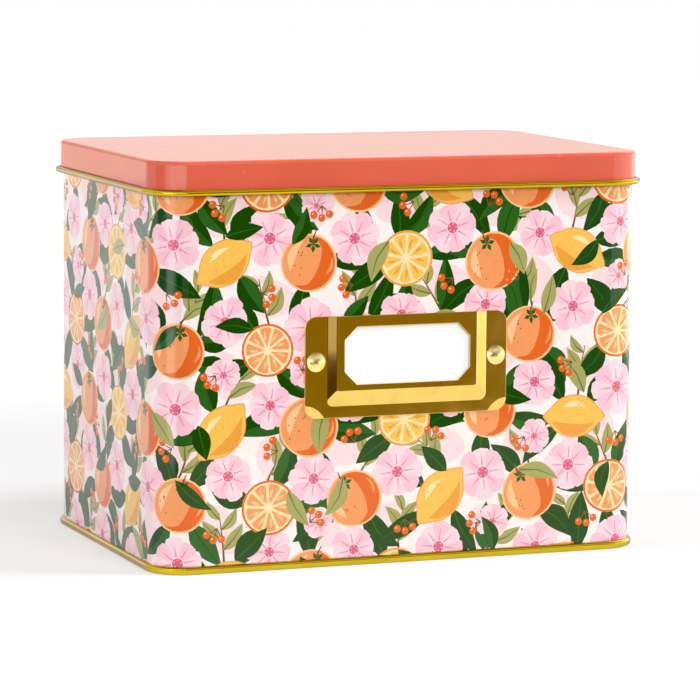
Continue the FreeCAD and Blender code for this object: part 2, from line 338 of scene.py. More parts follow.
def draw_print(width, low, high):
    """The whole print, layer by layer, on a half-drop lattice that closes round the tin."""
    columns = round(width / 31.0)
    pitch = width / columns
    rise = pitch * 0.86
    spots = []
    for row in range(int((high - low) / rise) + 2):
        for column in range(columns):
            x = (column + 0.5 * (row % 2)) * pitch + between(-1.8, 1.8)
            y = low + (row - 0.25) * rise + between(-1.8, 1.8)
            spots.append((row, column, x, y))
    for row, column, x, y in spots:
        patch = oval(9.5, 6.5, 18, 0.08)
        draw("blush", patch, x + between(-4, 4), y + 0.66 * rise, between(0, 3))
    for row, column, x, y in spots:
        draw_sprig(x + between(-2, 2), y + 7, pi / 2 + between(-0.8, 0.8), 17)
    for row, column, x, y in spots:
        first = between(0, pi)
        for k in range(4):
            turn = first + k * quarter_turn + between(-0.4, 0.4)
            lean = turn + between(-0.4, 0.4)
            inks = MID_LEAF if k == 3 else DARK_LEAF
            draw_leaf(*polar(x, y, 6.5, turn), lean, between(15, 21), between(6.5, 8), inks)
    for row, column, x, y in spots:
        at = x + pitch / 2 + between(-1.5, 1.5), y + 0.32 * rise + between(-1.5, 1.5)
        draw_daisy(*at, between(8.6, 10.2))
        if dice.random() < 0.25:
            draw_daisy(x + between(-3, 3), y + 0.7 * rise, between(5.5, 7.0))
    for spot in spots:
        draw_fruit(*spot)
    for row, column, x, y in spots:
        base = polar(x, y, 8.5, between(0.2, 2.9))
        inks = DARK_LEAF if dice.random() < 0.75 else OLIVE_LEAF
        draw_leaf(*base, between(0, full_turn), between(12, 16), between(5, 6.5), inks)
        draw_berries(x + between(-5, 5), y + 0.7 * rise, between(0, full_turn))


# --- Meshes with exact normals ---


def linear(colour):
    """A linear colour, from sRGB numbers of 0 to 255."""
    shares = [c / 255 for c in colour]
    return tuple(s / 12.92 if s < 0.04 else ((s + 0.055) / 1.055) ** 2.4 for s in shares)


def newell(points):
    """A vector along the face's normal, as long as twice its area."""
    total = Vector((0.0, 0.0, 0.0))
    for here, there in zip(points, points[1:] + points[:1]):
        total += Vector(here).cross(Vector(there))
    return total


def add_object(name, data):
    thing = bpy.data.objects.new(name, data)
    bpy.context.scene.collection.objects.link(thing)
    return thing


class Skin:
    """Gathers faces in millimetres, each corner with its own normal, and makes one mesh of them."""

    def __init__(self):
        self.index = {}
        self.points = []
        self.faces = []
        self.slots = []
        self.corners = []     # of the faces: (normal, ink, place on the map)

    def vertex(self, point):
        key = tuple(round(c * 5000) for c in point)
        if key not in self.index:
            self.index[key] = len(self.points)
            self.points.append(tuple(point))
        return self.index[key]

    def face(self, made, slot=0, ink="gold", spots=None):
        """Adds a face of (place, normal) corners, which looks the way its normals point."""
        spots = spots or [(0.0, 0.0)] * len(made)
        ids = [self.vertex(place) for place, normal in made]
        normals = [Vector(normal) for place, normal in made]
        corners = [k for k in range(len(ids)) if ids[k] != ids[k - 1]]
        if len({ids[k] for k in corners}) < 3:
            return
        across = newell([self.points[ids[k]] for k in corners])
        if across.length < 1e-7:
            return
        if across.dot(sum((normals[k] for k in corners), Vector((0.0, 0.0, 0.0)))) < 0:
            corners.reverse()
        self.faces.append([ids[k] for k in corners])
        self.slots.append(slot)
        self.corners.extend((normals[k].normalized(), ink, spots[k]) for k in corners)

    def flat(self, points, normal, slot=0):
        """Adds a face with one normal."""
        self.face([(point, normal) for point in points], slot)

    def build(self, name, *materials, inked=False):
        """The finished piece; an inked one has its print's colours and its own map."""
        mesh = bpy.data.meshes.new(name)
        mesh.from_pydata([tuple(c * MM for c in p) for p in self.points], [], self.faces)
        for material in materials:
            mesh.materials.append(material)
        mesh.polygons.foreach_set("material_index", self.slots)
        mesh.polygons.foreach_set("use_smooth", [True] * len(self.faces))
        if inked:
            layer = mesh.uv_layers.new(name="OFBake")
            layer.data.foreach_set("uv", [c for normal, ink, spot in self.corners for c in spot])
            layer = mesh.color_attributes.new("print", "FLOAT_COLOR", "CORNER")
            colours = {ink: (*linear(INKS[ink]), 1.0) for ink in INKS}
            layer.data.foreach_set("color", [c for normal, ink, spot in self.corners for c in colours[ink]])
        mesh.update()
        mesh.normals_split_custom_set([normal for normal, ink, spot in self.corners])
        return add_object(name, mesh)


def place_piece(piece, body, slot, *nodes):
    """Fixes a piece to its body and lets it stand for the CAD nodes; slot is not used."""
    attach(piece, body)
    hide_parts(*nodes)


# --- The tin's outline, as a run in millimetres from the rear groove, left side first ---

quarter = corner_radius * pi / 2


def outline_corners():
    """Each corner's run at its start, centre and first angle, walking anticlockwise seen from above."""
    flat_x = half_width - corner_radius
    flat_y = half_depth - corner_radius
    runs = [groove_x + flat_x]
    for side in (2 * flat_y, 2 * flat_x, 2 * flat_y):
        runs.append(runs[-1] + quarter + side)
    centres = [(-flat_x, flat_y), (-flat_x, -flat_y), (flat_x, -flat_y), (flat_x, flat_y)]
    return [(run, centre, 90 + 90 * k) for k, (run, centre) in enumerate(zip(runs, centres))]


outline = outline_corners()
perimeter = outline[3][0] + quarter + half_width - corner_radius - groove_x
tile_columns = 20
tile_rows = 4


def outline_at(run):
    """Place on the wall's outer face and its outward direction: x, y, nx, ny."""
    for start, (x, y), angle in outline:
        if run < start + quarter:
            turn = radians(angle) + max(run - start, 0.0) / corner_radius
            c, s = cos(turn), sin(turn)
            short = max(start - run, 0.0)
            return x + corner_radius * c + s * short, y + corner_radius * s - c * short, c, s
    return groove_x + perimeter - run, half_depth, 0.0, 1.0


def rear_run(x):
    """The run of a place on the rear face."""
    return (groove_x - x) % perimeter


def station_runs():
    """Runs where the sheet metal is divided: round the corners, at the tiles, groove and hinge."""
    runs = {0.0, perimeter, groove_width / 2, perimeter - groove_width / 2}
    for start, centre, angle in outline:
        runs.update(start + quarter * k / corner_steps for k in range(corner_steps + 1))
    runs.update(perimeter * k / tile_columns for k in range(1, tile_columns))
    for side in (-1, 1):
        for half in (slot_half, notch_half):
            runs.update((rear_run(side * hinge_x - half), rear_run(side * hinge_x + half)))
        runs.add(rear_run(side * seam_width / 2))
    return sorted(round(run, 6) for run in runs)


cut_runs = station_runs()
stations = [(run, *outline_at(run)) for run in cut_runs]


def on_wall(run, z, k):
    """Place and normal on the outer face between stations k and k + 1, on the chord between them."""
    here, there = stations[k], stations[k + 1]
    share = (run - here[0]) / (there[0] - here[0])
    x, y, nx, ny = (along(a, b, share) for a, b in zip(here[1:], there[1:]))
    dent = max(groove_depth * (1 - 2 * min(run, perimeter - run) / groove_width), 0.0)
    slope = {0: -1, len(stations) - 2: 1}.get(k, 0) * 2 * groove_depth / groove_width
    length = hypot(nx, ny)
    nx, ny = nx / length, ny / length
    return (x - nx * dent, y - ny * dent, z), (nx - ny * slope, ny + nx * slope, 0.0)


# --- Sheets swept round the outline ---


def bend(x, y, radius, start, end, steps):
    """Part of a sheet's middle line: places and the directions to the left of the way it runs."""
    side = -1 if end > start else 1
    points = []
    for k in range(steps + 1):
        turn = radians(along(start, end, k / steps))
        c, s = cos(turn), sin(turn)
        points.append((x + radius * c, y + radius * s, side * c, side * s))
    return points


def skin_point(station, point, side):
    """Place and normal at a corner of a swept sheet: side 1 is the face to the left of its middle line."""
    run, x, y, nx, ny = station
    off, z, noff, nz = point
    off += side * noff * sheet / 2
    z += side * nz * sheet / 2
    return (x + nx * off, y + ny * off, z), (side * noff * nx, side * noff * ny, side * nz)


def nowhere(*place):
    return False


def sweep_sheet(skin, path, slots, cut=nowhere, spot=None, bare_right=nowhere):
    """Both faces of a sheet whose middle line is the path, carried round the tin, and its free edges.

    cut(run, z) tells where the sheet is cut away, and bare_right(z) which of its right face is left
    out because something else draws it. spot(side, run, length, middle) is a corner's place on the map.
    """
    lengths = [0.0]
    for here, there in pairwise(path):
        lengths.append(lengths[-1] + hypot(there[0] - here[0], there[1] - here[1]))
    cells = len(path) - 1
    middles = [(here[0] + there[0]) / 2 for here, there in pairwise(stations)]
    heights = [(low[1] + high[1]) / 2 for low, high in pairwise(path)]

    def is_cut(k, j):
        return 0 <= j < cells and cut(middles[k % len(middles)], heights[j])

    def edge(first, second, normal):
        """A strip of the sheet's thickness along the line between two (station, point) corners."""
        ends = [(first, 1), (first, -1), (second, -1), (second, 1)]
        skin.flat([skin_point(*end, side)[0] for end, side in ends], normal, slots[0])

    for k, (here, there) in enumerate(pairwise(stations)):
        for j, (low, high) in enumerate(pairwise(path)):
            if is_cut(k, j):
                continue
            corners = [(here, j), (there, j), (there, j + 1), (here, j + 1)]
            for side, slot in zip((1, -1), slots):
                if side < 0 and bare_right(heights[j]):
                    continue
                made = [skin_point(station, path[at], side) for station, at in corners]
                spots = spot and [spot(side, station[0], lengths[at], middles[k]) for station, at in corners]
                skin.face(made, slot, "gold", spots)
            flat = Vector((there[1] - here[1], there[2] - here[2], 0.0))
            if is_cut(k + 1, j):
                edge((there, low), (there, high), flat)
            if is_cut(k - 1, j):
                edge((here, low), (here, high), -flat)
            way = (high[0] - low[0], high[1] - low[1])
            out = Vector((here[3] * way[0], here[4] * way[0], way[1]))
            if is_cut(k, j + 1) or (j == cells - 1 and high[0] > 1 - corner_radius):
                edge((here, high), (there, high), out)
            if is_cut(k, j - 1) or (j == 0 and low[0] > 1 - corner_radius):
                edge((here, low), (there, low), -out)


def flat_middle(skin, point, slots):
    """Closes a sheet's flat middle, inside the last of its swept part."""
    for side, slot in zip((1, -1), slots):
        skin.face([skin_point(station, point, side) for station in stations[:-1]], slot)


def wall_path():
    rows = wall_rows + [curl_z - slot_tall, curl_z + slot_tall, print_top]
    line = bend(-hem_radius, rim_top - hem_radius, hem_radius - sheet / 2, 0, roll_turn, roll_steps)
    return [(-sheet / 2, z, -1.0, 0.0) for z in rows] + line


def lid_path():
    top = tin_height - sheet / 2
    round_radius = lid_edge_radius - sheet / 2
    skirt = lid_reach - curl_radius + sheet / 2
    line = [(-corner_radius, top, 0.0, 1.0)]
    line += bend(skirt - round_radius, top - round_radius, round_radius, 90, 0, edge_steps)
    line += [(skirt, curl_z + curl_radius + notch_gap, 1.0, 0.0)]
    line += bend(lid_reach, curl_z, curl_radius - sheet / 2, 180, 180 + roll_turn, roll_steps)
    return line


def panel_path():
    outer = bead_radius - sheet / 2
    reach = bead_reach - bead_radius
    inner = bead_inner_radius - sheet / 2
    upright = -sheet - seam_gap - sheet / 2
    floor_z = panel_rise + sheet / 2
    half = edge_steps // 2
    line = [(seam_gap, bead_height - sheet / 2, 0.0, 1.0)]
    line += bend(reach, bead_height - bead_radius, outer, 90, 0, edge_steps)
    line += bend(reach, bead_radius, outer, 0, -90, edge_steps)
    line += bend(upright + inner, bead_inner_radius, inner, -90, -180, half)
    line += bend(upright - panel_bend, floor_z - panel_bend, panel_bend, 0, 90, half)
    line += [(-corner_radius, floor_z, 0.0, -1.0)]
    return line


# --- Cutting the print into faces ---

smallest_part = 0.01      # square millimetres
weld_reach = 1e-4         # millimetres
straight = 0.004          # radians
strip_limit = 1000        # more than the wall has strips between its cut runs
ink_names = list(INKS)
strip_length = perimeter / 4
strip_scale = 0.46 / strip_length     # of the print on the wall's map
map_edge = 0.02


def clipped(points, axis, limit, side):
    """The part of a polygon above a limit along an axis, or below it if side is -1."""
    kept = []
    for here, there in zip(points, points[1:] + points[:1]):
        inside_here = side * (here[axis] - limit) >= 0
        inside_there = side * (there[axis] - limit) >= 0
        if inside_here:
            kept.append(here)
        if inside_here != inside_there:
            share = (limit - here[axis]) / (there[axis] - here[axis])
            other = along(here[1 - axis], there[1 - axis], share)
            kept.append((limit, other) if axis == 0 else (other, limit))
    return kept


def signed_area(points):
    """Positive if the polygon runs anticlockwise."""
    return sum(a[0] * b[1] - b[0] * a[1] for a, b in zip(points, points[1:] + points[:1])) / 2


def box_shape(left, right, low, high):
    return [(left, low), (right, low), (right, high), (left, high)]


def bounds_of(points):
    """The lowest and highest place along each axis: left, right, low and high."""
    across, up = zip(*points)
    return min(across), max(across), min(up), max(up)


def middle_of(points):
    return sum(u for u, v in points) / len(points), sum(v for u, v in points) / len(points)


def print_shapes(low, high):
    """Inks, outlines and bounds of the print's shapes, each of them also moved a whole turn both ways."""
    drawn_shapes.append(("ground", box_shape(0.0, perimeter, low, high)))
    draw_print(perimeter, low, high)
    for middle in (rear_run(-hinge_x), rear_run(hinge_x)):
        slot = box_shape(middle - slot_half, middle + slot_half, curl_z - slot_tall, curl_z + slot_tall)
        drawn_shapes.append((None, slot))
    shapes = []
    for ink, points in drawn_shapes:
        for shift in (0.0, perimeter, -perimeter):
            outline = [(u + shift, v) for u, v in points]
            shapes.append((ink, outline, bounds_of(outline)))
    return shapes


def tile_parts(shapes, left, right, low, high):
    """The inks and outlines of the shapes' parts inside one tile, each running anticlockwise."""
    parts = []
    for ink, outline, reach in shapes:
        if reach[1] < left or reach[0] > right or reach[3] < low or reach[2] > high:
            continue
        for axis, limit, side in ((0, left, 1), (0, right, -1), (1, low, 1), (1, high, -1)):
            outline = clipped(outline, axis, limit, side)
        area = signed_area(outline)
        if abs(area) >= smallest_part:
            parts.append((ink, outline if area > 0 else outline[::-1]))
    return parts


def tile_faces(shapes, left, right, low, high):
    """The print inside one tile, as triangles with the ink of the topmost shape and the strip of wall there.

    Triangles of one ink and strip are joined before they are cut again, which drops the hidden outlines.
    """
    parts = tile_parts(shapes, left, right, low, high)
    bounds = [bounds_of(outline) for ink, outline in parts]
    points = []
    faces = []
    for ink, outline in parts:
        faces.append(list(range(len(points), len(points) + len(outline))))
        points.extend(outline)
    lines = []
    for run in cut_runs:
        if left < run < right:
            lines.append((len(points), len(points) + 1))
            points.extend([(run, low), (run, high)])
    places = [Vector((u - left, v - low)) for u, v in points]
    made = delaunay_2d_cdt(places, lines, faces, 1, weld_reach, True)
    net = bmesh.new()
    corners = [net.verts.new((p.x + left, p.y + low, 0.0)) for p in made[0]]
    for face, owners in zip(made[2], made[5]):
        u, v = middle_of([corners[k].co.xy for k in face])
        over = [k for k in owners if bounds[k][0] <= u <= bounds[k][1] and bounds[k][2] <= v <= bounds[k][3]]
        ink = parts[max(over)][0] if over else None
        if ink:
            strip = bisect.bisect_right(cut_runs, u) - 1
            part = net.faces.new([corners[k] for k in face])
            part.material_index = ink_names.index(ink) * strip_limit + strip
    net.normal_update()
    bmesh.ops.dissolve_limit(net, angle_limit=straight, use_dissolve_boundaries=False,
                             verts=net.verts[:], edges=net.edges[:], delimit={"MATERIAL"})
    bmesh.ops.triangulate(net, faces=net.faces[:])
    triangles = []
    for part in net.faces:
        ink, strip = divmod(part.material_index, strip_limit)
        triangles.append(([(v.co.x, v.co.y) for v in part.verts], ink_names[ink], strip))
    net.free()
    return triangles


def wall_spot(side, run, length, middle):
    """Place on the wall's map: four strips for the outside and a narrow band for the inside."""
    if side > 0:
        return map_edge + 0.95 * run / perimeter, 0.935 + 0.0004 * length
    strip = min(int(middle / strip_length), 3)
    return (map_edge + 0.49 * (strip % 2) + (run - strip * strip_length) * strip_scale,
            0.004 + 0.462 * (strip // 2) + length * strip_scale)


def add_print(skin, low, high):
    shapes = print_shapes(low, high)
    for column in range(tile_columns):
        left = perimeter * column / tile_columns
        right = perimeter * (column + 1) / tile_columns
        for row in range(tile_rows):
            floor_z = along(low, high, row / tile_rows)
            roof_z = along(low, high, (row + 1) / tile_rows)
            for corners, ink, strip in tile_faces(shapes, left, right, floor_z, roof_z):
                middle = middle_of(corners)[0]
                made = [on_wall(u, v, strip) for u, v in corners]
                spots = [wall_spot(-1, u, v - low, middle) for u, v in corners]
                skin.face(made, 0, ink, spots)


# --- The label holder's shape ---


def rounded_distance(x, y, half, low, radius):
    """Distance outside a shape with two straight sides, a straight floor and rounded lower corners."""
    across = abs(x) - half
    under = low - y
    if across > -radius and under > -radius:
        return hypot(across + radius, under + radius) - radius
    return max(across, under)


def bevel_share(x, y):
    """How far up the bevel a place is: 0 at the foot, 1 at the shoulder."""
    low, high = -0.5, 1.5
    for step in range(22):
        share = (low + high) / 2
        half = foot_x - bevel_side * share
        radius = along(foot_corner, shoulder_corner, share)
        if rounded_distance(x, y, half, foot_y + bevel_below * share, radius) < 0:
            low = share
        else:
            high = share
    return (low + high) / 2


def softened(rise):
    """The rise where it is above 0, and 0 where it is not, rounded in between."""
    return (rise + knee) ** 2 / (4 * knee) if abs(rise) < knee else max(rise, 0.0)


def plate_distance(x, y):
    """Distance inside the plate's outline."""
    return -rounded_distance(x, -abs(y), plate_half_x, -plate_half_y, plate_corner)


def window_distance(x, y):
    """Distance outside the window."""
    across = abs(x) - window_x
    up = abs(y - (window_low + window_high) / 2) - (window_high - window_low) / 2
    return max(across, up, (across + up + window_chamfer) / sqrt(2))


def edge_drop(distance):
    reach = min(max(distance, 0.0), edge_round)
    return edge_round - sqrt(edge_round ** 2 - (edge_round - reach) ** 2)


def front_height(x, y):
    """Height of the plate's front face from the tin's wall."""
    share = bevel_share(x, y)
    height = plate_sheet + (panel_front - plate_sheet) * (softened(share) - softened(share - 1))
    beyond = bend_radius - hypot(abs(x) - bend_x, y - bend_y)
    height -= min(max(beyond, 0.0) * corner_bend, corner_drop)
    return height - edge_drop(min(plate_distance(x, y), window_distance(x, y)))


def back_height(x, y):
    return max((panel_front - plate_sheet) * min(max(bevel_share(x, y), 0.0), 1.0), 0.0)


def arc(x, y, radius, start, end, steps=8):
    """Places round part of a circle, between two angles in degrees."""
    turns = [radians(along(start, end, k / steps)) for k in range(steps + 1)]
    return [(x + radius * cos(turn), y + radius * sin(turn)) for turn in turns]


def rounded_ring(half_x, half_y, corner, inset, steps=8):
    """A rectangle's outline with rounded corners, moved inwards."""
    x = half_x - corner
    y = half_y - corner
    points = []
    for start, middle in ((0, (x, y)), (90, (-x, y)), (180, (-x, -y)), (270, (x, -y))):
        points += arc(*middle, corner - inset, start, start + 90, steps)
    return points


def window_ring(grow):
    """The window's outline, moved outwards into the plate."""
    x = window_x + grow
    low = window_low - grow
    high = window_high + grow
    cut = window_chamfer + grow * (2 - sqrt(2))
    return [(x - cut, low), (x, low + cut), (x, high - cut), (x - cut, high),
            (cut - x, high), (-x, high - cut), (-x, low + cut), (cut - x, low)]


def bevel_line(share):
    """An open line of equal height on the bevel, from the top edge on the right round to the left."""
    half = foot_x - bevel_side * share
    low = foot_y + bevel_below * share
    radius = along(foot_corner, shoulder_corner, share)
    right = [(half, plate_half_y)] + arc(half - radius, low + radius, radius, 0, -90)
    return right + [(-x, y) for x, y in reversed(right)]


def plate_triangles():
    """The plate's front seen flat: its places and triangles."""
    rounds = [edge_round * share for share in (0.0, 0.06, 0.22, 0.5, 1.0)]
    loops = [rounded_ring(plate_half_x, plate_half_y, plate_corner, inset) for inset in rounds]
    loops += [window_ring(grow) for grow in rounds]
    lines = [bevel_line(share) for share in (-knee, -knee / 3, knee / 3, knee)]
    lines += [bevel_line(1 + share) for share in (-knee, -knee / 3, knee / 3, knee)]
    bent = arc(bend_x, bend_y, bend_radius, 85, 160)
    lines += [[(side * x, y) for x, y in bent] for side in (-1, 1)]
    places = []
    edges = []
    for line in [loop + loop[:1] for loop in loops] + lines:
        edges.extend((len(places) + k, len(places) + k + 1) for k in range(len(line) - 1))
        places.extend(line)
    made = delaunay_2d_cdt([Vector(p) for p in places], edges, [], 0, 1e-5, False)
    corners = [(p.x, p.y) for p in made[0]]
    kept = []
    for face in made[2]:
        x, y = middle_of([corners[k] for k in face])
        if plate_distance(x, y) > 0 and window_distance(x, y) > 0:
            kept.append(face)
    return corners, kept


def on_plate(x, y, height):
    return x, -half_depth - height, holder_z + y


def plate_normal(x, y, towards):
    """The front's normal at a corner, taken a little way inside the triangle it belongs to."""
    x = along(x, towards[0], 0.06)
    y = along(y, towards[1], 0.06)
    step = 0.004
    slope_x = (front_height(x + step, y) - front_height(x - step, y)) / (2 * step)
    slope_y = (front_height(x, y + step) - front_height(x, y - step)) / (2 * step)
    return -slope_x, -1.0, -slope_y


def make_label_holder():
    skin = Skin()
    corners, faces = plate_triangles()
    fronts = [on_plate(x, y, front_height(x, y)) for x, y in corners]
    backs = [on_plate(x, y, back_height(x, y)) for x, y in corners]
    for face in faces:
        middle = middle_of([corners[k] for k in face])
        skin.face([(fronts[k], plate_normal(*corners[k], middle)) for k in face])
        skin.flat([backs[k] for k in face], (0.0, 1.0, 0.0))
    sides = {side for face in faces for side in zip(face, face[1:] + face[:1])}
    for a, b in sorted(sides):
        if (b, a) not in sides:
            out = (corners[b][1] - corners[a][1], 0.0, corners[a][0] - corners[b][0])
            skin.flat([fronts[a], fronts[b], backs[b], backs[a]], out)
    place_piece(skin.build("brass_label_holder", holder_brass()), "tin", "holder_brass", "label_holder")


# --- Turned pieces ---


def turned_piece(skin, profile, origin, axis, steps):
    """A profile of (radius, height, radial normal, axial normal) carried round an axis."""
    axis = Vector(axis)
    first = axis.orthogonal().normalized()
    second = axis.cross(first)

    def corner(point, k):
        turn = 2 * pi * k / steps
        out = first * cos(turn) + second * sin(turn)
        return Vector(origin) + out * point[0] + axis * point[1], out * point[2] + axis * point[3]

    for here, there in pairwise(profile):
        for k in range(steps):
            skin.face([corner(here, k), corner(here, k + 1), corner(there, k + 1), corner(there, k)])


def dome_profile(radius, height, rim, cap_steps=12, rim_steps=5):
    """A low dome with a rounded rim, from its crown down to its foot."""
    cap_radius = (radius ** 2 + (height - rim) ** 2) / (2 * (height - rim))
    open_angle = asin((radius - rim / 2) / cap_radius)
    points = []
    for k in range(cap_steps + 1):
        s, c = sin(open_angle * k / cap_steps), cos(open_angle * k / cap_steps)
        points.append((cap_radius * s, height - cap_radius + cap_radius * c, s, c))
    shoulder = points[-1]
    for k in range(1, rim_steps + 1):
        share = k / rim_steps
        turn = along(open_angle, pi / 2, share)
        reach = sin(turn) - shoulder[2] * (1 - share)
        points.append((radius - rim / 2 + rim / 2 * reach, along(shoulder[1], rim / 2, share),
                       sin(turn), cos(turn)))
    return points + [(radius, 0.0, 1.0, 0.0)]


def make_rivet(name, node):
    low, high = (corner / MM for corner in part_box(node))
    x = (low.x + high.x) / 2
    z = (low.z + high.z) / 2
    seat = -half_depth - plate_sheet
    inside = -half_depth + sheet
    head = (seat, -1, (high.x - low.x) / 2, seat - low.y, rivet_rim, 40)
    tail = (inside, 1, rivet_tail_radius, high.y - inside, rivet_tail_rim, 24)
    skin = Skin()
    for y, way, radius, height, rim, steps in (head, tail):
        turned_piece(skin, dome_profile(radius, height, rim), (x, y, z), (0, way, 0), steps)
        skin.flat([(u, y, v) for u, v in arc(x, z, radius, 0, 345, 23)], (0.0, -way, 0.0))
    shank = [(rivet_shank_radius, height, 1.0, 0.0) for height in (0.0, plate_sheet + sheet)]
    turned_piece(skin, shank, (x, seat, z), (0, 1, 0), 16)
    place_piece(skin.build(name, rivet_brass()), "tin", "rivet_brass", node)


def make_hinge_wire():
    low, high = (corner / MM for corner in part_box("hinge_wire"))
    radius = (high.z - low.z) / 2
    inner = radius - wire_bevel
    length = high.x - low.x
    line = [(0.0, 0.0), (inner, 0.0), (radius, wire_bevel), (radius, length - wire_bevel), (inner, length),
            (0.0, length)]
    profile = []
    for here, there in pairwise(line):
        profile += [(*place, there[1] - here[1], here[0] - there[0]) for place in (here, there)]
    skin = Skin()
    middle = (low.x, (low.y + high.y) / 2, (low.z + high.z) / 2)
    turned_piece(skin, profile, middle, (1, 0, 0), 28)
    place_piece(skin.build("steel_hinge_wire", wire_steel()), "lid", "wire_steel", "hinge_wire")


def make_label_card():
    low, high = (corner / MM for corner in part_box("label_card"))
    half = (high - low) / 2
    middle = (high + low) / 2
    rings = []
    for edge, inset in ((low.y, card_edge), (low.y, 0.0), (high.y, 0.0), (high.y, card_edge)):
        y = edge + copysign(card_edge - inset, middle.y - edge)
        ring = rounded_ring(half.x, half.z, foot_corner, inset, 6)
        rings.append([(middle.x + u, y, middle.z + v) for u, v in ring])
    skin = Skin()
    skin.flat(rings[0], (0.0, -1.0, 0.0))
    skin.flat(rings[-1], (0.0, 1.0, 0.0))
    for here, there in pairwise(rings):
        for quad in zip(here, here[1:] + here[:1], there[1:] + there[:1], there):
            x, y, z = (sum(c) / 4 for c in zip(*quad))
            skin.flat(quad, (x, 0.0, (z - middle.z) * 2))
    place_piece(skin.build("blank_label_card", label_card_stock()), "card", "label_card_stock", "label_card")


# --- The tin's own pieces ---


def add_seam_bar(skin):
    """The lock seam's folded plies on the inside of the rear wall."""
    low = panel_rise + sheet + seam_end_gap
    high = rim_top - 2 * hem_radius - seam_top_gap
    outer = half_depth - sheet
    inner = half_depth - seam_plies * sheet
    half = seam_width / 2
    section = [(half, outer), (half, inner + seam_edge), (half - seam_edge, inner),
               (seam_edge - half, inner), (-half, inner + seam_edge), (-half, outer)]
    for here, there in pairwise(section):
        quad = [(*here, low), (*there, low), (*there, high), (*here, high)]
        skin.flat(quad, (here[1] - there[1], there[0] - here[0], 0.0), 1)
    for z, up in ((low, -1.0), (high, 1.0)):
        skin.flat([(x, y, z) for x, y in section], (0.0, 0.0, up), 1)


def from_hinge(run):
    """Distance from the middle of the nearer hinge loop."""
    return min(abs(run - rear_run(x)) for x in (-hinge_x, hinge_x))


def in_slot(run, z):
    return from_hinge(run) < slot_half and abs(z - curl_z) < slot_tall


def in_notch(run, z):
    return from_hinge(run) < notch_half and z < curl_z + curl_radius + notch_gap


def make_body_wall():
    skin = Skin()
    sweep_sheet(skin, wall_path(), (1, 1), in_slot, wall_spot, lambda z: z < print_top)
    add_print(skin, wall_rows[0], print_top)
    add_seam_bar(skin)
    piece = skin.build("printed_body_wall", printed_tinplate(), gold_lacquer(), inked=True)
    place_piece(piece, "tin", "printed_tinplate", "body_wall")


def make_bottom_panel():
    skin = Skin()
    path = panel_path()
    sweep_sheet(skin, path, (0, 0))
    flat_middle(skin, path[-1], (0, 0))
    place_piece(skin.build("rolled_bottom_panel", gold_lacquer()), "tin", "gold_tinplate", "bottom_panel")


def make_lid():
    skin = Skin()
    path = lid_path()
    sweep_sheet(skin, path, (0, 1), in_notch)
    flat_middle(skin, path[0], (0, 1))
    place_piece(skin.build("coral_lid", coral_paint(), gold_lacquer()), "lid", "lid_tinplate", "lid_shell")


def finish_hinge_loops():
    """The loops keep their own shape, with the lacquered tinplate's look."""
    for node in ("hinge_loop_left", "hinge_loop_right"):
        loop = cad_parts[node]
        loop.data.materials.clear()
        loop.data.materials.append(gold_lacquer())


# --- Finishes ---


def feed(value, socket):
    """Links a socket to another one, or sets it to a plain value; a tuple is a linear colour."""
    if isinstance(value, bpy.types.NodeSocket):
        socket.id_data.links.new(value, socket)
    else:
        socket.default_value = (*value, 1.0) if isinstance(value, tuple) else value


def feed_all(node, inputs):
    """Feeds a node's inputs, by name or number."""
    for key, value in inputs.items():
        feed(value, node.inputs[key])


def add_node(tree, kind, inputs=None, **settings):
    node = tree.nodes.new("ShaderNode" + kind)
    for name, value in settings.items():
        setattr(node, name, value)
    feed_all(node, inputs or {})
    return node


def maths(operation, first, second=0.0):
    inputs = {0: first, 1: second}
    return add_node(first.id_data, "Math", inputs, operation=operation).outputs["Value"]


def noise(tree, scale, detail):
    """Noise that goes with the piece; scale is in patches per metre."""
    place = add_node(tree, "TexCoord").outputs["Object"]
    return add_node(tree, "TexNoise", {"Scale": scale, "Detail": detail, "Vector": place}).outputs["Fac"]


def spread(source, low, high, start=0.3, end=0.7):
    """A number that runs from low to high as the source goes from start to end."""
    limits = {"Value": source, "From Min": start, "From Max": end, "To Min": low, "To Max": high}
    return add_node(source.id_data, "MapRange", limits).outputs["Result"]


def shades(source, stops):
    """A colour from stops of (place, linear colour)."""
    node = add_node(source.id_data, "ValToRGB", {"Fac": source})
    ramp = node.color_ramp
    while len(ramp.elements) < len(stops):
        ramp.elements.new(0.5)
    for element, (place, colour) in zip(ramp.elements, stops):
        element.position = place
        element.color = (*colour, 1.0)
    return node.outputs["Color"]


def mixed(share, first, second):
    """One colour that turns into another as the share grows."""
    inputs = {"Factor": share, 6: first, 7: second}
    return add_node(share.id_data, "Mix", inputs, data_type="RGBA").outputs[2]


def times(colour, factor):
    """A colour made lighter or darker by a number."""
    inputs = {0: colour, "Scale": factor}
    return add_node(colour.id_data, "VectorMath", inputs, operation="SCALE").outputs["Vector"]


def bumps(source, depth):
    return add_node(source.id_data, "Bump", {"Distance": depth, "Height": source}).outputs["Normal"]


def started(name):
    """A new material, its node tree and its shader."""
    material = bpy.data.materials.new(name)
    material.use_nodes = True
    return material, material.node_tree, material.node_tree.nodes["Principled BSDF"]


def finish(dress):
    """Makes a material once, which takes its name from the function that dresses its shader."""
    @functools.cache
    def look():
        material, tree, shader = started(dress.__name__ + "_look")
        dress(tree, shader)
        return material
    return look


def varnish(shader, colour, weight, roughness, ripples):
    """A matt colour under a clear varnish with slight ripples."""
    feed_all(shader, {"Base Color": colour, "Specular IOR Level": 0.0, "Roughness": 0.6,
                      "Coat Weight": weight, "Coat Roughness": roughness,
                      "Coat Normal": bumps(noise(shader.id_data, ripples, 1), 0.00004)})


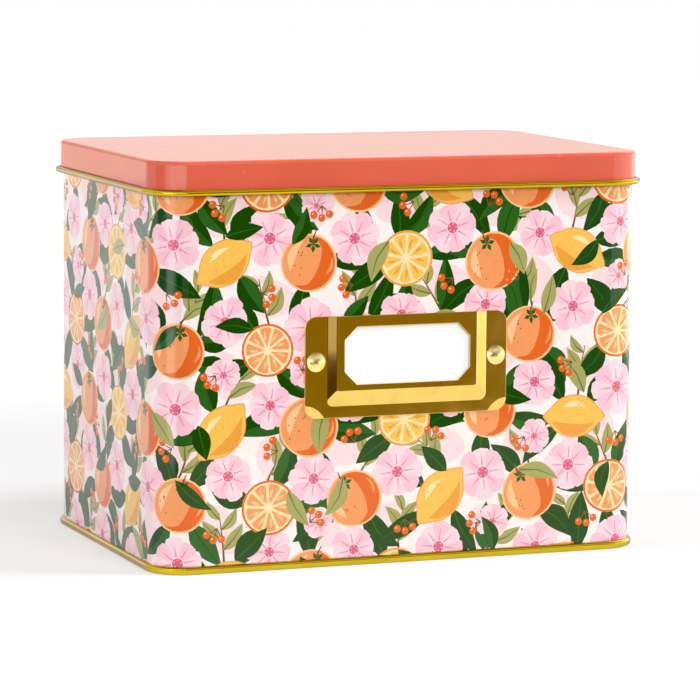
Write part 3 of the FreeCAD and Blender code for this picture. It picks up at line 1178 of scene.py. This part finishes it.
@finish
def printed_tinplate(tree, shader):
    """Glossy litho print, with the inks' colours stored in the mesh."""
    inks = add_node(tree, "VertexColor", layer_name="print").outputs["Color"]
    varnish(shader, times(inks, spread(noise(tree, 900, 3), 0.97, 1.03)), 1.0, 0.07, 140)


@finish
def coral_paint(tree, shader):
    """Glossy coral paint with small pale scuffs."""
    paint = shades(noise(tree, 25, 4), [(0.35, linear((219, 95, 73))), (0.65, linear((225, 101, 78)))])
    varnish(shader, times(paint, spread(noise(tree, 330, 6), 1.0, 1.2, 0.68, 0.76)), 0.8, 0.08, 160)


def add_metal(tree, shader, stops, patches, sheen, low, high):
    """Metal whose colour varies by the noise of patches, and its roughness by that of sheen."""
    feed_all(shader, {"Metallic": 1.0, "Base Color": shades(noise(tree, *patches), stops),
                      "Roughness": spread(noise(tree, *sheen), low, high)})


@finish
def gold_lacquer(tree, shader):
    """Clear gold lacquer on bare tinplate."""
    stops = [(0.3, (0.60, 0.43, 0.01)), (0.7, (0.72, 0.53, 0.02))]
    add_metal(tree, shader, stops, (30, 4), (90, 3), 0.10, 0.18)
    feed_all(shader, {"Specular Tint": (0.5, 0.55, 1.0), "Coat Weight": 0.12, "Coat Roughness": 0.06,
                      "Normal": bumps(noise(tree, 400, 2), 0.00001)})


@finish
def holder_brass(tree, shader):
    """Bright brass that has dulled a little in patches."""
    stops = [(0.3, (0.88, 0.61, 0.25)), (0.45, (0.93, 0.66, 0.28)), (0.75, (0.96, 0.70, 0.31))]
    add_metal(tree, shader, stops, (130, 5), (200, 4), 0.05, 0.09)
    feed(bumps(noise(tree, 45, 1), 0.00001), shader.inputs["Normal"])


@finish
def rivet_brass(tree, shader):
    stops = [(0.3, (0.93, 0.82, 0.42)), (0.7, (0.98, 0.90, 0.52))]
    add_metal(tree, shader, stops, (300, 4), (500, 3), 0.2, 0.32)


@finish
def wire_steel(tree, shader):
    stops = [(0.3, (0.50, 0.50, 0.51)), (0.7, (0.66, 0.65, 0.64))]
    add_metal(tree, shader, stops, (400, 4), (700, 3), 0.2, 0.4)


@finish
def label_card_stock(tree, shader):
    """Plain white card with a faint fibre."""
    stops = [(0.3, linear((252, 252, 250))), (0.7, linear((255, 255, 254)))]
    feed_all(shader, {"Base Color": shades(noise(tree, 1500, 5), stops), "Roughness": 0.85,
                      "Normal": bumps(noise(tree, 2500, 3), 0.00001)})


# --- The studio ---

view_yaw = -0.3678
view_pitch = 0.1248
view_roll = 0.0066
view_place = (2.85, 63.49, 1312.28)   # the camera's, along its own right, upward and backward directions
lamp_target = Vector((0, 0, 60))
floor_front = 275
floor_rear = -3000
floor_half = 2000
white = (1.0, 1.0, 1.0)
dim = (0.42, 0.42, 0.42)
mild = (0.56, 0.56, 0.56)
dark = (0.1, 0.1, 0.09)
brown = (0.098, 0.067, 0.0)
brightest = 2.5
# What reflections see round the tin, as shares of the brightest part of it.
surroundings = [
    (0.0, dim), (0.2, dim), (0.24, mild), (0.38, mild), (0.42, mild), (0.432, brown), (0.455, brown),
    (0.472, (0.14, 0.1, 0.02)), (0.49, (0.06, 0.036, 0.001)), (0.54, (0.03, 0.016, 0.0)),
    (0.60, (0.03, 0.02, 0.01)), (0.64, white), (0.68, white), (0.71, dark), (0.92, dark),
    (0.94, (0.6, 0.6, 0.6)), (1.0, dim),
]
# The same above the height of the camera.
pale_wall = (0.48, 0.43, 0.33)
dark_wall = (0.12, 0.11, 0.06)
upper_surroundings = [(0.0, pale_wall), (0.36, pale_wall), (0.38, dark_wall), (0.62, dark_wall),
                      (0.64, pale_wall), (1.0, pale_wall)]
ceiling = (0.34, 0.31, 0.26)
zenith = (0.1, 0.08, 0.06)
overhead = (0.8, 0.75, 0.68)          # a softbox above the tin, to the rear right


def make_camera():
    data = bpy.data.cameras.new("camera")
    data.sensor_width = 36.0
    data.lens = 194.35
    camera = add_object("camera", data)
    turn = Matrix.Rotation(view_yaw, 4, "Z") @ Matrix.Rotation(pi / 2 - view_pitch, 4, "X")
    turn = turn @ Matrix.Rotation(view_roll, 4, "Z")
    camera.matrix_world = turn @ Matrix.Translation(Vector(view_place) * MM)
    bpy.context.scene.camera = camera


def around(azimuth, distance, height):
    """A place round the tin: azimuth in degrees from straight in front, to the left if positive."""
    turn = radians(azimuth)
    return Vector((-distance * sin(turn), -distance * cos(turn), height))


def add_lamp(name, place, width, height, level):
    """A soft rectangular lamp that lights a white card at the target to the given brightness."""
    data = bpy.data.lights.new(name, "AREA")
    data.shape = "RECTANGLE"
    data.size = width * MM
    data.size_y = height * MM
    reach = place - lamp_target
    data.energy = level * pi ** 2 * (reach.length * MM) ** 2
    lamp = add_object(name, data)
    lamp.matrix_world = Matrix.Translation(place * MM) @ reach.to_track_quat("Z", "Y").to_matrix().to_4x4()
    lamp.visible_camera = False
    lamp.visible_glossy = False


def add_panel(name, corners, material):
    """A flat sheet that belongs to the studio."""
    mesh = bpy.data.meshes.new(name)
    mesh.from_pydata([c * MM for c in corners], [], [(0, 1, 2, 3)])
    mesh.materials.append(material)
    panel = add_object(name, mesh)
    return panel


def make_card(name, azimuth, distance, width, low, high, colour):
    """An upright bright panel that only shows in reflections."""
    material, tree, shader = started(name)
    tree.nodes.clear()
    glow = add_node(tree, "Emission", {"Color": colour})
    add_node(tree, "OutputMaterial", {"Surface": glow.outputs["Emission"]})
    across = around(azimuth - 90, width / 2, 0)
    low = around(azimuth, distance, low)
    high = around(azimuth, distance, high)
    card = add_panel(name, [low - across, low + across, high + across, high - across], material)
    card.visible_camera = False
    card.visible_diffuse = False
    card.visible_shadow = False
    card.visible_transmission = False


def floor_look():
    """White floor that keeps the tin's shadow and glows more where the lamps fall off; its front glows
    yellow to reflections only, a painted reflection.
    """
    material, tree, shader = started("white_floor")
    path = add_node(tree, "LightPath").outputs
    place = add_node(tree, "TexCoord").outputs["Object"]
    away = add_node(tree, "VectorMath", {0: place}, operation="LENGTH").outputs["Value"]
    rearward = add_node(tree, "SeparateXYZ", {"Vector": place}).outputs["Y"]
    seen = maths("MAXIMUM", path["Is Camera Ray"], path["Is Glossy Ray"])
    # Painted reflection: to reflections only, the floor from about 0.1 m in front of the tin's middle
    # onwards glows yellow instead of white.
    painted_yellow_reflection = maths("MULTIPLY", path["Is Glossy Ray"], spread(rearward, 1.0, 0.0, -0.11, -0.075))
    feed_all(shader, {"Base Color": (0.53, 0.53, 0.53), "Roughness": 1.0, "Specular IOR Level": 0.0,
                      "Emission Color": mixed(painted_yellow_reflection, white, (1.0, 0.95, 0.0)),
                      "Emission Strength": maths("MULTIPLY", seen, spread(away, 0.46, 0.75, 0.3, 0.9))})
    return material


def make_floor():
    """A white sheet that ends a little in front of the picture."""
    towards = Vector((sin(view_yaw), -cos(view_yaw), 0.0))
    across = Vector((cos(view_yaw), sin(view_yaw), 0.0)) * floor_half
    front = towards * floor_front
    rear = towards * floor_rear
    add_panel("floor", [front - across, front + across, rear + across, rear - across], floor_look())


def background(tree, colour, strength):
    return add_node(tree, "Background", {"Color": colour, "Strength": strength}).outputs["Background"]


def chosen(share, first, second):
    """The first shader where the share is 0, the second where it is 1."""
    return add_node(share.id_data, "MixShader", {"Fac": share, 1: first, 2: second}).outputs["Shader"]


def make_world():
    """White behind the tin; what reflections see gets darker in front of it, to the right of the camera."""
    world = bpy.data.worlds.new("studio")
    bpy.context.scene.world = world
    world.use_nodes = True
    tree = world.node_tree
    tree.nodes.clear()
    place = add_node(tree, "TexCoord").outputs["Generated"]
    x, y, z = add_node(tree, "SeparateXYZ", {"Vector": place}).outputs
    # From 0 behind the tin, through the right side at 0.25, the front at 0.5 and the left at 0.75.
    turn = maths("FRACT", maths("MULTIPLY", maths("ARCTAN2", x, y), 1 / (2 * pi)))
    colour = shades(turn, surroundings)
    colour = mixed(spread(z, 0.0, 1.0, 0.05, 0.12), colour, shades(turn, upper_surroundings))
    colour = mixed(spread(z, 0.0, 1.0, 0.25, 0.4), colour, ceiling)
    colour = mixed(spread(z, 0.0, 1.0, 0.6, 0.85), colour, zenith)
    beyond = spread(maths("MINIMUM", x, y), 0.0, 1.0, 0.0, 0.1)
    colour = mixed(maths("MULTIPLY", beyond, spread(z, 0.0, 1.0, 0.22, 0.32)), colour, overhead)
    path = add_node(tree, "LightPath").outputs
    seen = maths("MAXIMUM", path["Is Camera Ray"], path["Is Transmission Ray"])
    lit = chosen(path["Is Glossy Ray"], background(tree, white, 0.45), background(tree, colour, brightest))
    surface = chosen(seen, lit, background(tree, white, 1.0))
    add_node(tree, "OutputWorld", {"Surface": surface})


make_body_wall()
make_bottom_panel()
make_lid()
make_hinge_wire()
finish_hinge_loops()
make_label_holder()
make_label_card()
make_rivet("left_brass_rivet", "label_rivet_left")
make_rivet("right_brass_rivet", "label_rivet_right")
make_floor()
make_card("bevel_card", 18, 420, 130, 27, 700, (0.58, 0.5, 0.3))
make_card("corner_card", 35, 400, 290, 96, 140, (3.8, 3.6, 3.3))
make_card("right_card", -104, 600, 330, 0, 140, (3.0, 2.9, 2.7))
make_card("right_skirt_card", -75, 590, 500, 82, 140, (2.2, 2.1, 1.9))
make_card("skirt_card", 159, 600, 500, 79, 135, (2.0, 1.8, 1.5))
make_world()
add_lamp("front_softbox", around(-5, 4500, 1900), 2600, 2200, 0.50)
add_lamp("left_softbox", around(95, 4500, 1500), 2200, 2200, 0.41)
add_lamp("right_key", around(-69, 4500, 3600), 1500, 1500, 0.55)
make_camera()
bpy.context.scene.view_settings.view_transform = "Standard"
